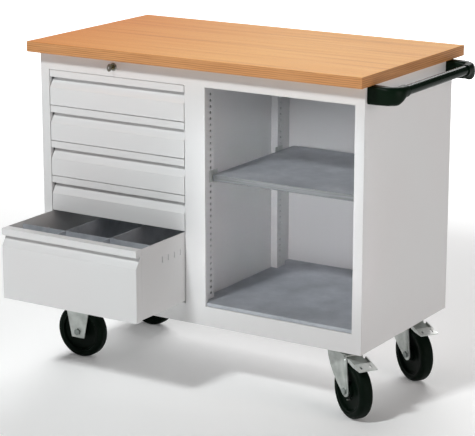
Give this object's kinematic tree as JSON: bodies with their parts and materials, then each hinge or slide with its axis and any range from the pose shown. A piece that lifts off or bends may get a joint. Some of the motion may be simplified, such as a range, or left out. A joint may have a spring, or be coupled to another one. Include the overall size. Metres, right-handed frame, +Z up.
{
  "type": "mobile workbench",
  "caption": "Wheeled workbench with a beech worktop, a stack of drawers beside an open bay with a shelf, and a push handle at one end.",
  "frame": {"origin": "on the floor, under the middle of the bench's box with the bottom drawer as far open as in the picture", "axes": "+X to the right along the worktop, towards the push handle; +Y from the drawer fronts to the back; +Z up"},
  "size_m": [1.157, 0.791, 0.9553],
  "materials": {
    "beech": "oiled",
    "paint": "satin powder coat",
    "zinc": "galvanised",
    "plate": "bright zinc plated",
    "rubber": "matte",
    "core": "moulded",
    "moulding": "moulded",
    "tube_paint": "gloss",
    "brass": "dull"
  },
  "bodies": {
    "cabinet": {"worktop": "beech", "front_frame": "paint", "left_side_panel": "paint", "right_side_panel": "paint", "back_panel": "paint", "base_panel": "paint", "top_panel": "paint", "partition_panel": "paint", "left_runner_rack": "zinc", "right_runner_rack": "zinc", "lock_housing": "plate", "bay_floor": "zinc", "shelf": "zinc", "handle_bracket_front": "moulding", "handle_bracket_rear": "moulding", "handle_tube": "tube_paint", "bay_post_front_left": "paint", "bay_post_front_right": "paint", "bay_post_rear_left": "paint", "bay_post_rear_right": "paint", "shelf_clip_front_left": "plate", "shelf_clip_front_right": "plate", "shelf_clip_rear_left": "plate", "shelf_clip_rear_right": "plate", "fixed_castor_front_fork": "plate", "fixed_castor_front_axle": "plate", "swivel_castor_front_plate": "plate", "fixed_castor_rear_fork": "plate", "fixed_castor_rear_axle": "plate", "swivel_castor_rear_plate": "plate"},
    "drawer_1": {"drawer_1_front": "paint", "drawer_1_tray": "paint"},
    "drawer_2": {"drawer_2_front": "paint", "drawer_2_tray": "paint"},
    "drawer_3": {"drawer_3_front": "paint", "drawer_3_tray": "paint"},
    "drawer_4": {"drawer_4_front": "paint", "drawer_4_tray": "paint"},
    "drawer_5": {"drawer_5_front": "paint", "drawer_5_tray": "paint", "drawer_5_cross_divider": "zinc", "drawer_5_left_divider": "zinc", "drawer_5_right_divider": "zinc"},
    "lock": {"lock_plug": "brass", "lock_key": "plate"},
    "fixed_wheel_front": {"fixed_castor_front_tyre": "rubber", "fixed_castor_front_wheel_core": "core"},
    "fixed_wheel_rear": {"fixed_castor_rear_tyre": "rubber", "fixed_castor_rear_wheel_core": "core"},
    "swivel_front": {"swivel_castor_front_fork": "plate", "swivel_castor_front_axle": "plate"},
    "swivel_rear": {"swivel_castor_rear_fork": "plate", "swivel_castor_rear_axle": "plate"},
    "swivel_wheel_front": {"swivel_castor_front_tyre": "rubber", "swivel_castor_front_wheel_core": "core"},
    "swivel_wheel_rear": {"swivel_castor_rear_tyre": "rubber", "swivel_castor_rear_wheel_core": "core"},
    "brake_front": {"swivel_castor_front_brake_pedal": "plate"},
    "brake_rear": {"swivel_castor_rear_brake_pedal": "plate"}
  },
  "joints": [
    {"name": "drawer_1_slide", "type": "slide", "parent": "cabinet", "child": "drawer_1", "axis": [0, -1, 0], "range_m": [0, 0.4]},
    {"name": "drawer_2_slide", "type": "slide", "parent": "cabinet", "child": "drawer_2", "axis": [0, -1, 0], "range_m": [0, 0.4]},
    {"name": "drawer_3_slide", "type": "slide", "parent": "cabinet", "child": "drawer_3", "axis": [0, -1, 0], "range_m": [0, 0.4]},
    {"name": "drawer_4_slide", "type": "slide", "parent": "cabinet", "child": "drawer_4", "axis": [0, -1, 0], "range_m": [0, 0.4]},
    {"name": "drawer_5_slide", "type": "slide", "parent": "cabinet", "child": "drawer_5", "axis": [0, -1, 0], "range_m": [-0.236, 0.164]},
    {"name": "lock_turn", "type": "hinge", "parent": "cabinet", "child": "lock", "pos_m": [-0.3085, -0.1595, 0.9], "axis": [0, 1, 0], "range_deg": [0, 90]},
    {"name": "fixed_wheel_front_roll", "type": "hinge", "parent": "cabinet", "child": "fixed_wheel_front", "pos_m": [-0.4895, -0.0855, 0.08], "axis": [0, 1, 0], "continuous": true},
    {"name": "fixed_wheel_rear_roll", "type": "hinge", "parent": "cabinet", "child": "fixed_wheel_rear", "pos_m": [-0.4895, 0.2765, 0.08], "axis": [0, 1, 0], "continuous": true},
    {"name": "swivel_front_turn", "type": "hinge", "parent": "cabinet", "child": "swivel_front", "pos_m": [0.3935, -0.0855, 0.18], "axis": [0, 0, 1], "continuous": true},
    {"name": "swivel_wheel_front_roll", "type": "hinge", "parent": "swivel_front", "child": "swivel_wheel_front", "pos_m": [0.44438, -0.1173, 0.08], "axis": [0.5299, 0.848, 0], "continuous": true},
    {"name": "brake_front_press", "type": "hinge", "parent": "swivel_front", "child": "brake_front", "pos_m": [0.43929, -0.11412, 0.175], "axis": [0.5299, 0.848, 0], "range_deg": [0, 10]},
    {"name": "swivel_rear_turn", "type": "hinge", "parent": "cabinet", "child": "swivel_rear", "pos_m": [0.3935, 0.2765, 0.18], "axis": [0, 0, 1], "continuous": true},
    {"name": "swivel_wheel_rear_roll", "type": "hinge", "parent": "swivel_rear", "child": "swivel_wheel_rear", "pos_m": [0.44438, 0.2447, 0.08], "axis": [0.5299, 0.848, 0], "continuous": true},
    {"name": "brake_rear_press", "type": "hinge", "parent": "swivel_rear", "child": "brake_rear", "pos_m": [0.43929, 0.24788, 0.175], "axis": [0.5299, 0.848, 0], "range_deg": [0, 10]}
  ]
}
